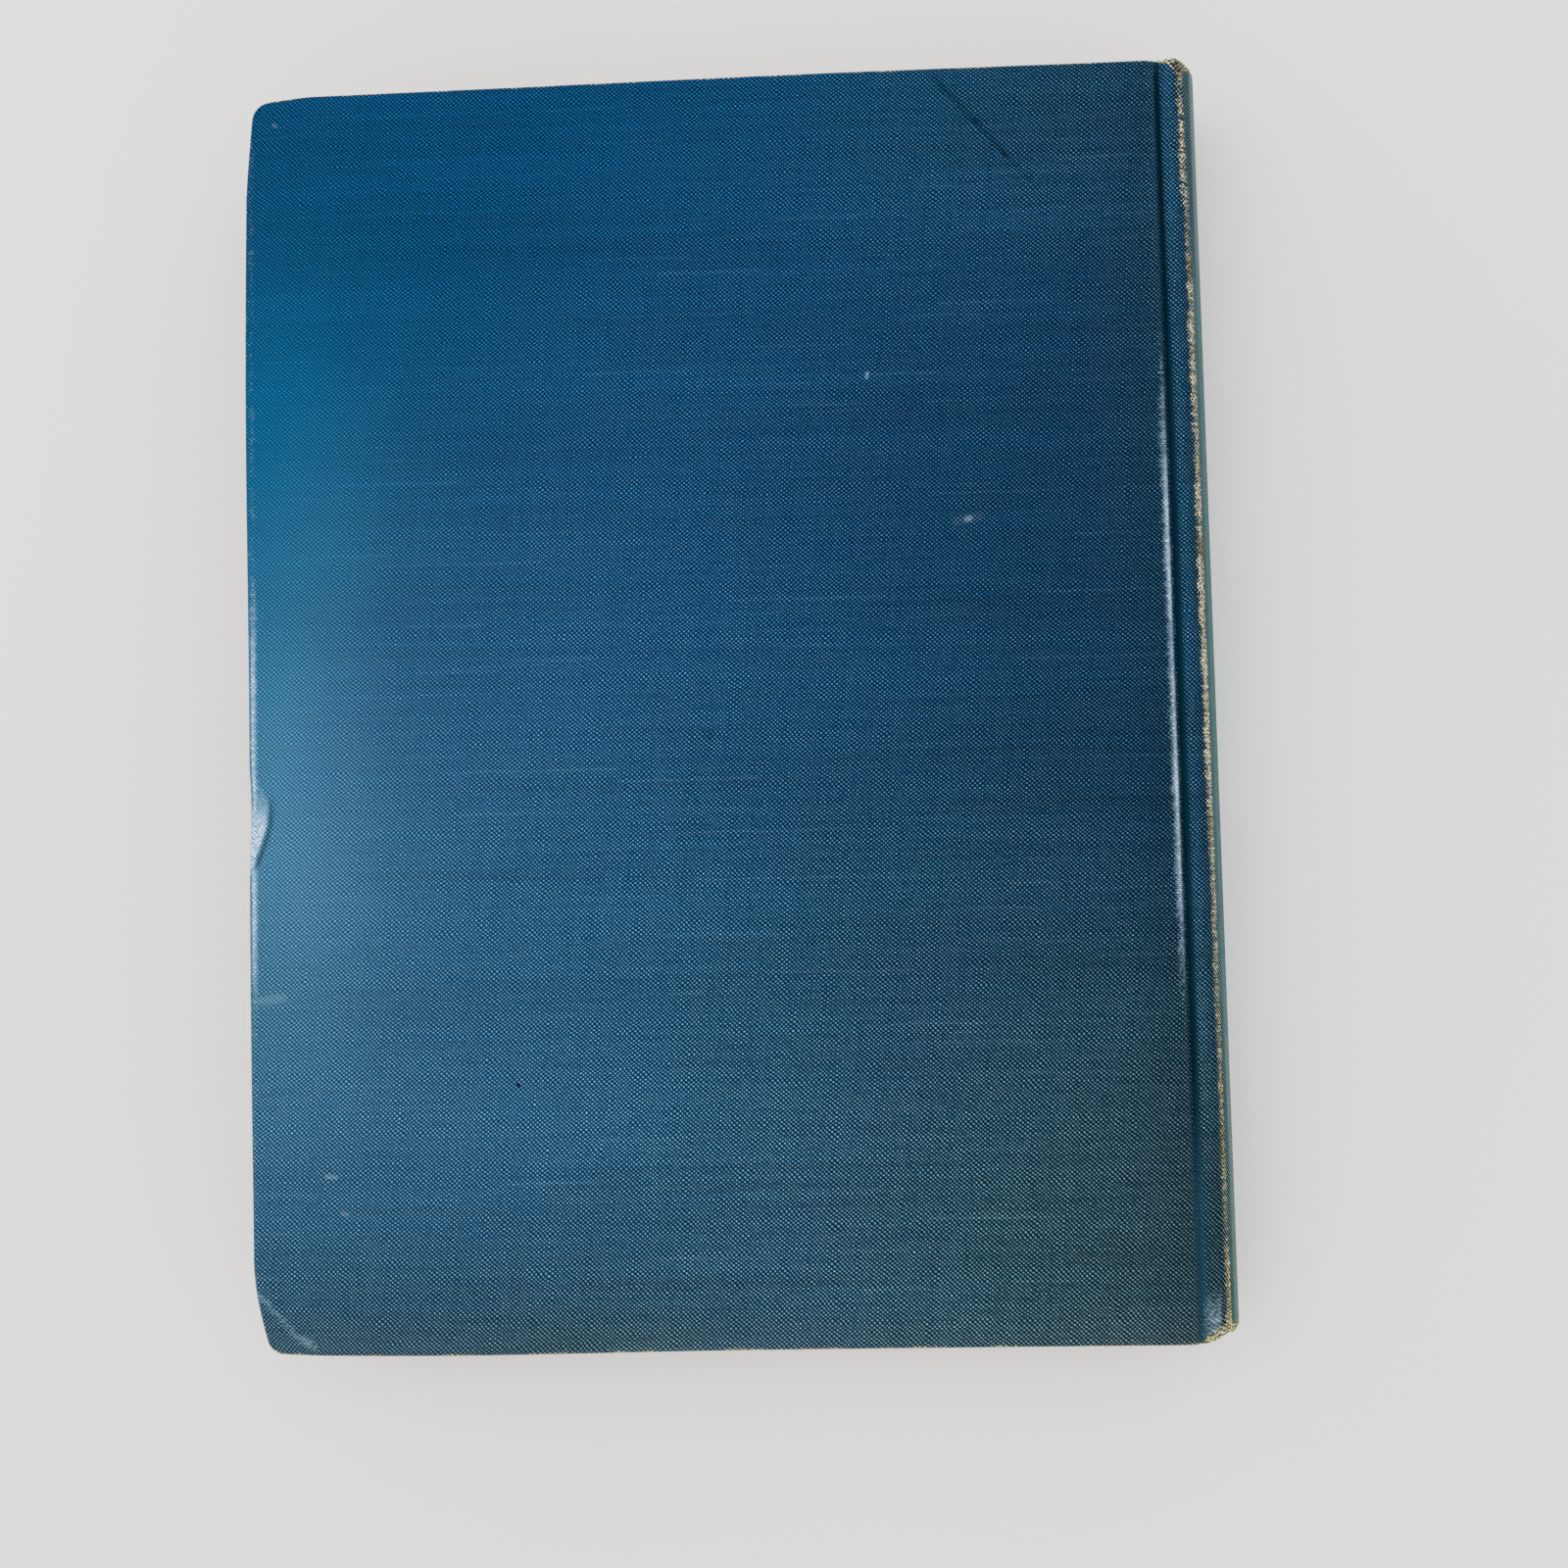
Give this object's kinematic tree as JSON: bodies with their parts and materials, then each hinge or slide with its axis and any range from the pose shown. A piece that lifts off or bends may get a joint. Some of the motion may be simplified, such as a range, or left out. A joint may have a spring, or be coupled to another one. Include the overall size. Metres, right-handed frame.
{
  "type": "hardcover book",
  "caption": "Cloth-covered hardcover book with a rounded spine, lying on its front cover; both covers open on their joints.",
  "frame": {"origin": "under the middle of the book's outline, on the surface that the front cover lies on", "axes": "+X from the fore edge towards the spine, +Y from the tail towards the head, +Z from the front cover up to the back cover"},
  "size_m": [0.185, 0.241, 0.027],
  "materials": {
    "pages": "matte",
    "thread": "matte",
    "endpaper": "matte",
    "mull": "matte",
    "lining_paper": "matte",
    "headband": "matte",
    "inlay_card": "matte",
    "grey_board": "matte",
    "book_cloth": "matte"
  },
  "bodies": {
    "book_block": {"text_block": "pages", "sewing_thread": "thread", "front_flyleaf": "endpaper", "back_flyleaf": "endpaper", "mull": "mull", "spine_lining": "lining_paper", "head_band": "headband", "tail_band": "headband", "spine_inlay": "inlay_card", "spine_cloth": "book_cloth"},
    "front_cover": {"front_board": "grey_board", "front_cover_cloth": "book_cloth", "front_pastedown": "endpaper"},
    "back_cover": {"back_board": "grey_board", "back_cover_cloth": "book_cloth", "back_pastedown": "endpaper"}
  },
  "joints": [
    {"name": "front_cover_hinge", "type": "hinge", "parent": "book_block", "child": "front_cover", "pos_m": [0.0829, 0, 0.0003], "axis": [0, -1, 0], "range_deg": [0, 180]},
    {"name": "back_cover_hinge", "type": "hinge", "parent": "book_block", "child": "back_cover", "pos_m": [0.0829, 0, 0.0267], "axis": [0, 1, 0], "range_deg": [0, 180]}
  ]
}
